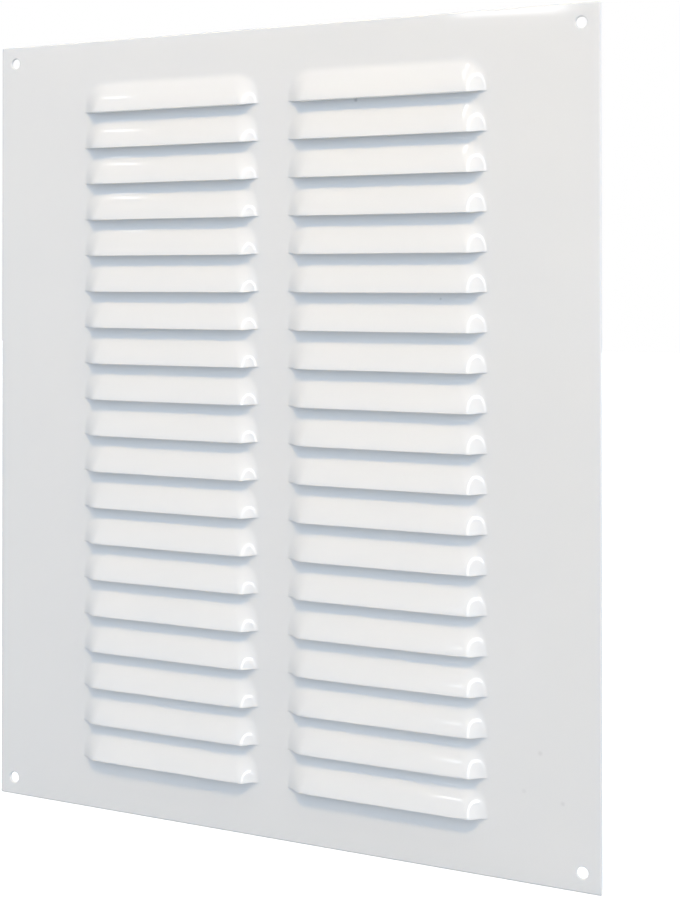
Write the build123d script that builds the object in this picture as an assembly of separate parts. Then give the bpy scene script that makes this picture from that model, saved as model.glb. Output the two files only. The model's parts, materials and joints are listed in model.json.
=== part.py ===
from build123d import *
import os
from math import acos, atan2, cos, sin

# Ventilation grille pressed from one sheet: columns of louvres and a screw hole near each corner.
# Frame: X across, Z up, the front looks along -Y, origin at the centre of the back face.

# Sheet blank
panel_width = 250.0
panel_height = 300.0
sheet_thickness = 1.0
corner_radius = 0.8

# Screw holes
hole_diameter = 4.0
hole_inset = 6.8            # hole centre to the two nearest edges

# One louvre, measured on the front of the sheet
louvre_length = 77.5        # end to end at the lip
louvre_depth = 11.2         # upper bend down to the lip
louvre_height = 3.35        # front face out to the lip
end_radius = 18.0           # rounding of the roof's ends, square to its slope
root_radius = 2.5           # front of the bend where the louvre leaves the sheet

# Louvre pattern
flat_strip = 2.8            # lip down to the next upper bend
column_gap = 13.0
top_margin = 17.0           # panel edge to the first upper bend
bottom_margin = 19.0        # least flat sheet below the last lip
side_margin = 25.0          # least flat sheet beside the louvres

# Values that follow from the sizes above
roof_angle = atan2(louvre_height, louvre_depth)
louvre_pitch = louvre_depth + flat_strip
tile_width = louvre_length + column_gap
row_count = 1 + int((panel_height - top_margin - bottom_margin - louvre_depth) / louvre_pitch)
column_count = int((panel_width - 2 * side_margin + column_gap) / tile_width)
first_lip = panel_height / 2 - top_margin - louvre_depth
last_lip = first_lip - (row_count - 1) * louvre_pitch
tile_bottom = -flat_strip / 2
block_depth = 2 * louvre_height
hair = 0.001                # edges this close to a face lie in it


def roof_section(inset):
    """Arch of the roof square to its slope, with the sheet on the +Y side."""
    drop_at_lip = louvre_height * cos(roof_angle)
    end_slope = acos(1 - drop_at_lip / end_radius)
    half_crest = louvre_length / 2 - end_radius * sin(end_slope)
    end = JernArc((half_crest, inset), (1, 0), end_radius - inset, 90)
    skirt = Line(end @ 1, (end @ 1) + (0, block_depth))
    right = [end, skirt]
    left = [mirror(edge, about=Plane.YZ) for edge in right]
    crest = Line((-half_crest, inset), (half_crest, inset))
    foot = Line(left[1] @ 1, skirt @ 1)
    return make_face([crest, foot, *right, *left])


def tile_box(front_y, back_y, bottom_z):
    """Box as wide as one louvre tile, from bottom_z up to the tile's upper edge."""
    height = tile_bottom + louvre_pitch - bottom_z
    return Pos(0, front_y, bottom_z) * Box(
        tile_width, back_y - front_y, height, align=(Align.CENTER, Align.MIN, Align.MIN)
    )


def pressed_block(inset, bend_radius):
    """Solid behind the pressed surface of one tile, inset from the front of the sheet."""
    face_y = inset - sheet_thickness
    flat = tile_box(face_y, block_depth, tile_bottom)
    slope = Plane(
        origin=(0, -sheet_thickness - louvre_height, 0),
        x_dir=(1, 0, 0),
        z_dir=(0, sin(roof_angle), cos(roof_angle)),
    )
    roof = extrude(slope * roof_section(inset), 2 * louvre_pitch, both=True)
    roof = roof & tile_box(-block_depth, block_depth, tile_bottom)
    block = flat + roof
    if bend_radius:
        bend = new_edges(flat, roof, combined=block)
        block = fillet(bend.filter_by_position(Axis.Y, face_y - hair, face_y + hair), bend_radius)
    above_lip = tile_box(-block_depth, face_y, 0)
    return (block & above_lip) + flat


def louvre_tile():
    """Piece of sheet with one louvre: its lip lies in the plane z = 0 and is open below.

    The bend round the louvre is rounded on the front and sharp behind.
    """
    return pressed_block(0, root_radius) - pressed_block(sheet_thickness, 0)


def blank():
    """Flat sheet with its screw holes and one opening that the louvre tiles fill."""
    outline = RectangleRounded(panel_width, panel_height, corner_radius)
    holes = GridLocations(panel_width - 2 * hole_inset, panel_height - 2 * hole_inset, 2, 2)
    outline -= holes * Circle(hole_diameter / 2)
    field_top = first_lip + tile_bottom + louvre_pitch
    field_bottom = last_lip + tile_bottom
    field = Rectangle(column_count * tile_width, field_top - field_bottom)
    outline -= Pos(0, (field_top + field_bottom) / 2) * field
    return extrude(Plane.XZ * outline, sheet_thickness)


def louvre_panel():
    """Whole grille: the blank and one tile for each louvre, joined into one sheet."""
    tile = louvre_tile()
    first_column = -(column_count - 1) / 2 * tile_width
    places = [
        Pos(first_column + column * tile_width, 0, first_lip - row * louvre_pitch)
        for column in range(column_count)
        for row in range(row_count)
    ]
    return blank() + [place * tile for place in places]


panel = louvre_panel()
panel.label = "louvre_panel"
os.makedirs("parts", exist_ok=True)
export_step(panel, "parts/louvre_panel.step")
print("columns", column_count, "rows", row_count, "solids", len(panel.solids()), "faces", len(panel.faces()))
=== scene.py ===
import json
from functools import lru_cache
from math import cos, pi, radians, sin, sqrt

import bmesh
import bpy
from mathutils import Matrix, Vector


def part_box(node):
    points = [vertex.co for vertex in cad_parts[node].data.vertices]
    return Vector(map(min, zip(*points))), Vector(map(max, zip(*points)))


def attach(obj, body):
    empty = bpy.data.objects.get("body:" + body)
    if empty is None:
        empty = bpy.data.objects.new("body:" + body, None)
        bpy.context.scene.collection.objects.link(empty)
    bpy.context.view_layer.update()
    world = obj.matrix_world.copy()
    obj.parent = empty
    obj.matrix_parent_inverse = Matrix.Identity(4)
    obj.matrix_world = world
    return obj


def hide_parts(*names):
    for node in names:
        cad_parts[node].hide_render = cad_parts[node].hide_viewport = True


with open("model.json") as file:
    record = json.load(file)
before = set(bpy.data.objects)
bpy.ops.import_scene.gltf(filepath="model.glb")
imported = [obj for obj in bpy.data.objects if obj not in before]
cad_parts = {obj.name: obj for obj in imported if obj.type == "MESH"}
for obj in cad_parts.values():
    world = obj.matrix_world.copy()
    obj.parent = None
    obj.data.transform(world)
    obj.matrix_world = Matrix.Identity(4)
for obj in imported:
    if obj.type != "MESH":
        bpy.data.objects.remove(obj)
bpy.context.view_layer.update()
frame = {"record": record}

# Ventilation grille pressed from one steel sheet and painted gloss white.
# Metres, in the frame of the solids: X across, Z up, the front looks along -Y, the back lies in y = 0.

mm = 0.001
panelLow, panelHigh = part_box("louvre_panel")
panelWidth = panelHigh.x - panelLow.x
panelHeight = panelHigh.z - panelLow.z
screwHoles = next(mount for mount in frame["record"]["mounts"] if mount["name"] == "screw_holes")["dims"]
print("frame: panel", round(panelWidth / mm, 1), "x", round(panelHeight / mm, 1), "mm")


def linearColour(hexCode):
    # sRGB hex to the linear values that the shaders take, with full alpha
    channels = [int(hexCode[i:i + 2], 16) / 255 for i in (1, 3, 5)]
    return [c / 12.92 if c <= 0.04045 else ((c + 0.055) / 1.055) ** 2.4 for c in channels] + [1.0]


def addNode(tree, kind, settings=None, inputs=None):
    # one node; an input is a value or another node's output socket
    node = tree.nodes.new(kind)
    for name, value in (settings or {}).items():
        setattr(node, name, value)
    for name, value in (inputs or {}).items():
        if isinstance(value, bpy.types.NodeSocket):
            tree.links.new(value, node.inputs[name])
        else:
            node.inputs[name].default_value = value
    return node


# White stoving enamel, sprayed and baked on degreased steel sheet.
# It levels to a hard gloss: sharp white glints on the bends, a faint orange peel, a cool white body.
enamel = {
    "body": "#EDEEEC",
    "thinBody": "#E8EAE9",       # where the coat is a little thinner
    "cloudSize": 38 * mm,        # slow change of coat thickness over the sheet
    "cloudRange": (0.3, 0.7),    # the noise behind it keeps to these values
    "peelSize": 2.2 * mm,        # ripple to ripple of the orange peel
    "peelDepth": 0.0015 * mm,
    "roughness": (0.04, 0.055),  # where the coat is thick and where it is thin
    "ior": 1.5,
    "grit": "#5A5954",
    "speckCore": 0.3,            # share of a speck's radius inside which it doesn't fade
    # grit under the coat: x, z and radius in mm, and the share of its colour that shows
    "specks": (
        (-28.9, 103.8, 0.6, 0.16), (33.8, 121.1, 0.9, 0.30), (66.9, 49.5, 0.6, 0.20),
        (111.4, -121.0, 1.0, 0.10), (97.6, -118.6, 1.0, 0.07), (103.4, -105.0, 1.1, 0.11),
    ),
}


def makeEnamel():
    material = bpy.data.materials.new("white_stoving_enamel")
    material.use_nodes = True
    tree = material.node_tree
    tree.nodes.clear()
    place = addNode(tree, "ShaderNodeTexCoord").outputs["Object"]
    clouds = addNode(tree, "ShaderNodeTexNoise", inputs={
        "Vector": place, "Scale": 1 / enamel["cloudSize"], "Detail": 3.0}).outputs["Fac"]
    body = addNode(tree, "ShaderNodeMix", {"data_type": "RGBA"}, {
        "Factor": clouds, 6: linearColour(enamel["thinBody"]), 7: linearColour(enamel["body"])})
    grit = 0.0
    for x, z, radius, share in enamel["specks"]:
        away = addNode(tree, "ShaderNodeVectorMath", {"operation": "DISTANCE"}, {
            0: place, 1: (x * mm, -sheet["thickness"], z * mm)}).outputs["Value"]
        spot = addNode(tree, "ShaderNodeMapRange", inputs={
            "Value": away, "From Min": enamel["speckCore"] * radius * mm, "From Max": radius * mm,
            "To Min": share, "To Max": 0.0})
        darkest = addNode(tree, "ShaderNodeMath", {"operation": "MAXIMUM"}, {0: grit, 1: spot.outputs[0]})
        grit = darkest.outputs[0]
    speckled = addNode(tree, "ShaderNodeMix", {"data_type": "RGBA"}, {
        "Factor": grit, 6: body.outputs[2], 7: linearColour(enamel["grit"])})
    gloss = addNode(tree, "ShaderNodeMapRange", inputs={
        "Value": clouds, "From Min": enamel["cloudRange"][0], "From Max": enamel["cloudRange"][1],
        "To Min": enamel["roughness"][1], "To Max": enamel["roughness"][0]})
    peel = addNode(tree, "ShaderNodeTexNoise", inputs={
        "Vector": place, "Scale": 1 / enamel["peelSize"], "Detail": 1.0}).outputs["Fac"]
    ripple = addNode(tree, "ShaderNodeBump", inputs={
        "Height": peel, "Distance": enamel["peelDepth"], "Strength": 1.0})
    shader = addNode(tree, "ShaderNodeBsdfPrincipled", inputs={
        "Base Color": speckled.outputs[2], "Roughness": gloss.outputs["Result"],
        "Normal": ripple.outputs["Normal"], "IOR": enamel["ior"]})
    addNode(tree, "ShaderNodeOutputMaterial", inputs={"Surface": shader.outputs["BSDF"]})
    return material


sheet = {
    "thickness": 1.0 * mm,
    "cornerRadius": 0.8 * mm,
    "frontEdge": 0.7 * mm,       # the cutting tool rolls the front edge over
    "backEdge": 0.15 * mm,
    "cornerSteps": 6,
    "holeFrontEdge": 0.4 * mm,
    "holeSteps": 40,
    "slopeStep": 0.01 * mm,      # length over which a slope of the pressing is taken
    "sharpAngle": radians(50),   # steeper edges stay sharp in the shading
}

louvre = {
    "rows": 19,
    "length": 77.5 * mm,         # end to end at the lip
    "depth": 11.2 * mm,          # upper bend down to the lip
    "pitch": 14.0 * mm,
    "columnCentres": (-45.25 * mm, 45.25 * mm),
    "topMargin": 17.0 * mm,      # panel edge to the first upper bend
    "bendSoftness": 0.5 * mm,    # blend between roof and sheet
    "crown": 0.25 * mm,          # bulge of the roof between bend and lip
    "droopFrom": 10.2 * mm,      # the roof starts to sink this far from its end
    "droopBend": 4.0 * mm,       # and sinks evenly after this length
    "droopSlope": 0.07,
    "capFrom": 6.6 * mm,         # at the lip the closed end falls away from here
    "capTo": -0.6 * mm,          # to here, outside the end of the lip
    "capSpreadIn": 0.40,         # and the fall widens upwards by these shares
    "capSpreadOut": 0.28,
    "capSlant": 0.22,            # 0 keeps the cap's foot upright, 1 draws it in as the roof gets lower
    "lipEdge": 0.2 * mm,         # paint rounds the cut lip
    "lipRoom": 4.0,              # and less so where the roof is lower than this many such edges
    "lipSag": 0.25 * mm,         # the lip hangs this far below the slit's lower edge
    "sagRange": (1.0, 3.0),      # which grows in as the roof rises over these sheet thicknesses
    "middleSteps": 6,            # mesh columns from the middle of a louvre to its droop
    "endSteps": 28,
    "frontSteps": 20,
    "backSteps": 8,
}

louvreHeight = panelHigh.y - panelLow.y - sheet["thickness"]
firstLip = panelHigh.z - louvre["topMargin"] - louvre["depth"]
slitEnd = louvre["length"] / 2 - louvre["capTo"]
roundStep = 1 - sqrt(0.5)        # a quarter round drawn with one point at 45 degrees
touching = 1e-9                  # places closer than this are one


def droopAt(fromEnd):
    over = max(louvre["droopFrom"] - fromEnd, 0.0)
    bend = min(over, louvre["droopBend"])
    return louvre["droopSlope"] * (bend ** 2 / (2 * louvre["droopBend"]) + over - bend)


def lostShare(x, z):
    # share of the roof's height that its end takes away, x from the middle and z above the lip
    fromEnd = louvre["length"] / 2 - abs(x)
    top = louvre["capFrom"] + louvre["capSpreadIn"] * max(z, 0.0)
    foot = louvre["capTo"] - louvre["capSpreadOut"] * max(z, 0.0)
    fall = (1 - cos(pi * min(max((top - fromEnd) / (top - foot), 0.0), 1.0))) / 2
    cap = louvreHeight - droopAt(louvre["capTo"])
    return min((droopAt(fromEnd) + cap * fall) / louvreHeight, 1.0)


def standOut(x, z):
    # front of the pressed sheet in front of the flat sheet
    lost = lostShare(x, z)
    up = z / louvre["depth"]
    roof = louvreHeight * (1 - up) + 4 * louvre["crown"] * up * (1 - up)
    form = roof * (1 - lost) - louvre["capSlant"] * lost * (louvreHeight - roof)
    soft = louvre["bendSoftness"] * sqrt(1 - lost)
    if form >= soft:
        return form
    return (form + soft) ** 2 / (4 * soft) if form > -soft else 0.0


@lru_cache(maxsize=None)
def pressedDepths(x, z):
    # front and back of the sheet there; the back lies one thickness behind, square to the slope
    step = sheet["slopeStep"]
    front = standOut(x, z)
    slopeX = (standOut(x + step, z) - standOut(x - step, z)) / (2 * step)
    slopeZ = (standOut(x, z + step) - front) / step
    return front, front - sheet["thickness"] * sqrt(1 + slopeX ** 2 + slopeZ ** 2)


def addPoint(mesh, x, z, out):
    # a point this far out from the front of the flat sheet
    return mesh.verts.new((x, -sheet["thickness"] - out, z))


def addFace(mesh, corners):
    # corners that fall together at the end of a slit leave a triangle or nothing
    distinct = list(dict.fromkeys(corners))
    if len(distinct) > 2:
        mesh.faces.new(distinct)


def skinRows(mesh, rowA, rowB):
    for i in range(len(rowA) - 1):
        addFace(mesh, (rowA[i], rowA[i + 1], rowB[i + 1], rowB[i]))


def skinLoops(mesh, loops):
    for inner, outer in zip(loops, loops[1:]):
        skinRows(mesh, inner + inner[:1], outer + outer[:1])


def edgesRound(mesh, loop):
    pairs = zip(loop, loop[1:] + loop[:1])
    return [mesh.edges.get(pair) or mesh.edges.new(pair) for pair in pairs]


def roundedEdge(frontEdge):
    # (inset, out) round the cut edge of the sheet, from its front face to its back face
    back, bottom = sheet["backEdge"], -sheet["thickness"]
    return [
        (frontEdge, 0.0), (frontEdge * roundStep, -frontEdge * roundStep), (0.0, -frontEdge),
        (0.0, bottom + back), (back * roundStep, bottom + back * roundStep), (back, bottom),
    ]


def outlineLoop(mesh, inset, out):
    radius = sheet["cornerRadius"]
    centreX, centreZ = panelWidth / 2 - radius, panelHeight / 2 - radius
    points = []
    for signX, signZ, start in ((1, 1, 0), (-1, 1, 90), (-1, -1, 180), (1, -1, 270)):
        for step in range(sheet["cornerSteps"] + 1):
            angle = radians(start + 90 * step / sheet["cornerSteps"])
            points.append(addPoint(mesh, signX * centreX + (radius - inset) * cos(angle),
                                   signZ * centreZ + (radius - inset) * sin(angle), out))
    return points


def holeLoop(mesh, centreX, centreZ, inset, out):
    radius = screwHoles["hole_r_mm"] * mm + inset
    turns = [2 * pi * step / sheet["holeSteps"] for step in range(sheet["holeSteps"])]
    return [addPoint(mesh, centreX + radius * cos(turn), centreZ + radius * sin(turn), out) for turn in turns]


def stationsAcross():
    # mesh columns of one louvre, close together where its ends turn down
    droopX = louvre["length"] / 2 - louvre["droopFrom"]
    half = [droopX * i / louvre["middleSteps"] for i in range(louvre["middleSteps"])]
    half += [droopX + (slitEnd - droopX) * i / louvre["endSteps"] for i in range(louvre["endSteps"] + 1)]
    return [-x for x in reversed(half[1:])] + half


def lipLoop(mesh, x, localX, lipZ):
    # points round the cut lip at one station, from the front over the edge to the inside
    front, back = pressedDepths(localX, 0.0)
    edge = louvre["lipEdge"] * min(1.0, front / (louvre["lipRoom"] * louvre["lipEdge"]))
    frontUp, backUp = pressedDepths(localX, edge)
    sagStart, sagFull = louvre["sagRange"]
    sagged = max(front / sheet["thickness"] - sagStart, 0.0) / (sagFull - sagStart)
    lipZ -= louvre["lipSag"] * min(sagged, 1.0)
    return [
        addPoint(mesh, x, lipZ + edge, frontUp),
        addPoint(mesh, x, lipZ + edge * roundStep, front - edge * roundStep),
        addPoint(mesh, x, lipZ, front - edge),
        addPoint(mesh, x, lipZ, back + edge),
        addPoint(mesh, x, lipZ + edge * roundStep, back + edge * roundStep),
        addPoint(mesh, x, lipZ + edge, backUp),
    ]


def louvreField(mesh):
    # the block of louvres; gives the loops round its front and back for the flat rim to join
    local = stationsAcross()
    across = [(centre + x, x) for centre in louvre["columnCentres"] for x in local]
    pitch, rows = louvre["pitch"], louvre["rows"]
    borderZ = [firstLip + pitch * (1 - b) for b in range(rows + 1)]
    flat = {side: [[addPoint(mesh, x, z, out) for x, _ in across] for z in borderZ]
            for side, out in (("front", 0.0), ("back", -sheet["thickness"]))}
    sides = {"front": [flat["front"][0]], "back": [flat["back"][0]]}
    ends = {i for i, (_, x) in enumerate(across) if abs(x) > slitEnd - touching}
    for row in range(rows):
        lipZ = borderZ[row + 1]
        lips = []
        for i, (x, localX) in enumerate(across):
            if i in ends:
                lips.append([flat["front"][row + 1][i]] * 3 + [flat["back"][row + 1][i]] * 3)
            else:
                lips.append(lipLoop(mesh, x, localX, lipZ))
        # each side takes its own depth, and joins the first or the last point of the lips
        for side, end, steps in (("front", 0, louvre["frontSteps"]), ("back", -1, louvre["backSteps"])):
            strips = [flat[side][row]]
            for step in range(1, steps):
                z = pitch * (1 - step / steps)
                strips.append([addPoint(mesh, x, lipZ + z, pressedDepths(localX, z)[end])
                               for x, localX in across])
            strips.append([loop[end] for loop in lips])
            for upper, lower in zip(strips, strips[1:]):
                skinRows(mesh, upper, lower)
            sides[side] += strips[1:]
        for i in range(len(across) - 1):
            if i in ends and i + 1 in ends:
                continue             # the strip of sheet between two columns has no slit
            skinRows(mesh, lips[i], lips[i + 1])
            addFace(mesh, (flat["front"][row + 1][i], flat["front"][row + 1][i + 1],
                           flat["back"][row + 1][i + 1], flat["back"][row + 1][i]))
    return {side: flat[side][0] + [strip[-1] for strip in strips[1:-1]] + flat[side][-1][::-1]
            + [strip[0] for strip in strips[-2:0:-1]] for side, strips in sides.items()}


def makePanel():
    mesh = bmesh.new()
    field = louvreField(mesh)
    outline = [outlineLoop(mesh, *step) for step in roundedEdge(sheet["frontEdge"])]
    skinLoops(mesh, outline)
    spreadX, spreadZ = screwHoles["spacing_x_mm"] * mm / 2, screwHoles["spacing_y_mm"] * mm / 2
    holes = []
    for signX in (-1, 1):
        for signZ in (-1, 1):
            holes.append([holeLoop(mesh, signX * spreadX, signZ * spreadZ, *step)
                          for step in roundedEdge(sheet["holeFrontEdge"])])
            skinLoops(mesh, holes[-1])
    for side, end, facing in (("front", 0, -1), ("back", -1, 1)):
        rims = [field[side], outline[end]] + [hole[end] for hole in holes]
        edges = [edge for rim in rims for edge in edgesRound(mesh, rim)]
        bmesh.ops.triangle_fill(mesh, use_beauty=True, edges=edges, normal=(0, facing, 0))
    bmesh.ops.recalc_face_normals(mesh, faces=mesh.faces)
    data = bpy.data.meshes.new("pressed_panel")
    mesh.to_mesh(data)
    loose = [edge for edge in mesh.edges if len(edge.link_faces) != 2]
    mesh.free()
    data.shade_smooth()
    data.set_sharp_from_angle(angle=sheet["sharpAngle"])
    panel = bpy.data.objects.new("pressed_panel", data)
    bpy.context.scene.collection.objects.link(panel)
    panel.modifiers.new("even_shading", "WEIGHTED_NORMAL").keep_sharp = True
    print("panel:", len(data.vertices), "points,", len(data.polygons), "faces, open edges", len(loose))
    return panel


panel = makePanel()
panel.data.materials.append(makeEnamel())
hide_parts("louvre_panel")
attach(panel, "root")
print("panel painted")


studio = {
    "background": "#FFFFFF",
    "fillColour": "#E1EDFD",     # cool daylight
    "fillLevel": 1.91,
    "leftShare": 0.30,           # the light is weaker from the left
    "backShare": 0.40,           # and from behind the panel
    "backTurn": (-0.2, 0.5),     # where that sets in, as Y of the direction
    "mirrorTurn": (0.3, 0.6),    # where glossy surfaces start to see the white background instead
    "floorSize": 8.0,
    "floorColour": "#AEB0B3",
    "floorRoughness": 0.18,
    "floorGlow": 0.92,           # lifts the floor to white for the camera, its shadow stays
}


def makeWorld():
    world = bpy.data.worlds.new("soft_daylight")
    bpy.context.scene.world = world
    world.use_nodes = True
    tree = world.node_tree
    tree.nodes.clear()
    path = addNode(tree, "ShaderNodeLightPath").outputs
    toward = addNode(tree, "ShaderNodeSeparateXYZ", inputs={
        0: addNode(tree, "ShaderNodeTexCoord").outputs["Generated"]}).outputs
    backdrop = addNode(tree, "ShaderNodeMapRange", inputs={
        "Value": toward["Y"], "From Min": studio["mirrorTurn"][0], "From Max": studio["mirrorTurn"][1]})
    mirrored = addNode(tree, "ShaderNodeMath", {"operation": "MAXIMUM"}, {
        0: path["Is Glossy Ray"], 1: path["Is Transmission Ray"]})
    mirroredWhite = addNode(tree, "ShaderNodeMath", {"operation": "MULTIPLY"}, {
        0: mirrored.outputs[0], 1: backdrop.outputs[0]})
    direct = addNode(tree, "ShaderNodeMath", {"operation": "MAXIMUM"}, {
        0: path["Is Camera Ray"], 1: mirroredWhite.outputs[0]})
    sideways = addNode(tree, "ShaderNodeMapRange", inputs={
        "Value": toward["X"], "From Min": -1.0, "From Max": 1.0,
        "To Min": studio["leftShare"], "To Max": 1.0})
    behind = addNode(tree, "ShaderNodeMapRange", inputs={
        "Value": toward["Y"], "From Min": studio["backTurn"][0], "From Max": studio["backTurn"][1],
        "To Min": 1.0, "To Max": studio["backShare"]})
    level = addNode(tree, "ShaderNodeMath", {"operation": "MULTIPLY"}, {
        0: sideways.outputs[0], 1: behind.outputs[0]})
    scaled = addNode(tree, "ShaderNodeMath", {"operation": "MULTIPLY"}, {
        0: level.outputs[0], 1: studio["fillLevel"]})
    fill = addNode(tree, "ShaderNodeBackground", inputs={
        "Color": linearColour(studio["fillColour"]), "Strength": scaled.outputs[0]})
    white = addNode(tree, "ShaderNodeBackground", inputs={
        "Color": linearColour(studio["background"]), "Strength": 1.0})
    mixed = addNode(tree, "ShaderNodeMixShader", inputs={
        0: direct.outputs[0], 1: fill.outputs[0], 2: white.outputs[0]})
    addNode(tree, "ShaderNodeOutputWorld", inputs={"Surface": mixed.outputs[0]})


# Floor paint, rolled on and polished: pale, with a slight gloss that mirrors the upright strip lamp,
# and so completes the white arches on the lower louvres.
def makeFloor():
    material = bpy.data.materials.new("polished_floor_paint")
    material.use_nodes = True
    tree = material.node_tree
    tree.nodes.clear()
    path = addNode(tree, "ShaderNodeLightPath").outputs
    glow = addNode(tree, "ShaderNodeMath", {"operation": "MULTIPLY"}, {
        0: path["Is Camera Ray"], 1: studio["floorGlow"]})
    shade = addNode(tree, "ShaderNodeBsdfPrincipled", inputs={
        "Base Color": linearColour(studio["floorColour"]), "Roughness": studio["floorRoughness"]})
    lift = addNode(tree, "ShaderNodeEmission", inputs={"Strength": glow.outputs[0]})
    both = addNode(tree, "ShaderNodeAddShader", inputs={0: shade.outputs[0], 1: lift.outputs[0]})
    addNode(tree, "ShaderNodeOutputMaterial", inputs={"Surface": both.outputs[0]})

    bpy.ops.mesh.primitive_plane_add(size=studio["floorSize"], location=(0, 0, panelLow.z))
    floor = bpy.context.object
    floor.name = "floor"
    floor.data.materials.append(material)


makeWorld()
makeFloor()
print("studio: floor at", round(panelLow.z, 4))


lamps = {
    # warm lamp above the right of the camera, small enough to draw the lips' shadows
    "key": {"place": (0.37, -0.83, 1.34), "size": (0.21, 0.21), "power": 10.6, "colour": "#FFD593"},
    # upright strip in front of the panel, which the closed ends show as a white arch
    "strip": {"place": (0.575, -2.5, 0.98), "size": (0.19, 2.25), "power": 17.0,
              "colour": "#FFFFFF", "glint": True},
    # three lamps on the left, whose glints sit where the roofs start to sink
    "highSpark": {"place": (-0.28, -1.5, 1.45), "size": (0.15, 0.18), "power": 1.0,
                  "colour": "#FFFFFF", "glint": True},
    "lowSpark": {"place": (-2.94, -8.2, 2.0), "size": (0.66, 0.16), "power": 2.6,
                 "colour": "#FFFFFF", "glint": True},
    "leftSpark": {"place": (-1.4, -1.5, 1.41), "size": (0.06, 0.05), "power": 0.08,
                  "colour": "#FFFFFF", "glint": True},
}


def makeLamp(name, lamp):
    # a glint lamp shows only in the gloss and points level, the other only lights the matt share
    light = bpy.data.lights.new(name, "AREA")
    light.shape = "RECTANGLE"
    light.size, light.size_y = lamp["size"]
    light.energy = lamp["power"]
    light.color = linearColour(lamp["colour"])[:3]
    holder = bpy.data.objects.new(name, light)
    holder.location = lamp["place"]
    holder.visible_glossy = lamp.get("glint", False)
    aim = Vector((0, 0, lamp["place"][2] if holder.visible_glossy else 0))
    holder.rotation_euler = (aim - holder.location).to_track_quat("-Z", "Y").to_euler()
    holder.visible_diffuse = not holder.visible_glossy
    bpy.context.scene.collection.objects.link(holder)


for lampName, lampSettings in lamps.items():
    makeLamp(lampName, lampSettings)
print("lamps:", ", ".join(lamps))


# Camera to the right of the panel, nearly level, with the frame shifted down as in the photograph
shot = {
    "place": (0.2834, -0.5209, 0.0554),
    "turn": radians(26.21),
    "tilt": radians(0.54),
    "focalPixels": 1599.8,
    "imageSize": (680, 909),
    "axisPixel": 267.0,          # height in the image where the lens axis points
    "sensor": 36.0,
    "nearest": 0.01,             # nothing closer to the camera is drawn
}


def makeCamera():
    lens = bpy.data.cameras.new("camera")
    tall = shot["imageSize"][1]
    lens.sensor_width = shot["sensor"]
    lens.lens = shot["sensor"] * shot["focalPixels"] / tall
    lens.shift_y = (shot["axisPixel"] - tall / 2) / tall
    lens.clip_start = shot["nearest"]
    camera = bpy.data.objects.new("camera", lens)
    camera.location = shot["place"]
    camera.rotation_euler = (pi / 2 + shot["tilt"], 0, shot["turn"])
    bpy.context.scene.collection.objects.link(camera)
    bpy.context.scene.camera = camera


makeCamera()
bpy.context.scene.view_settings.view_transform = "Standard"
print("camera set")
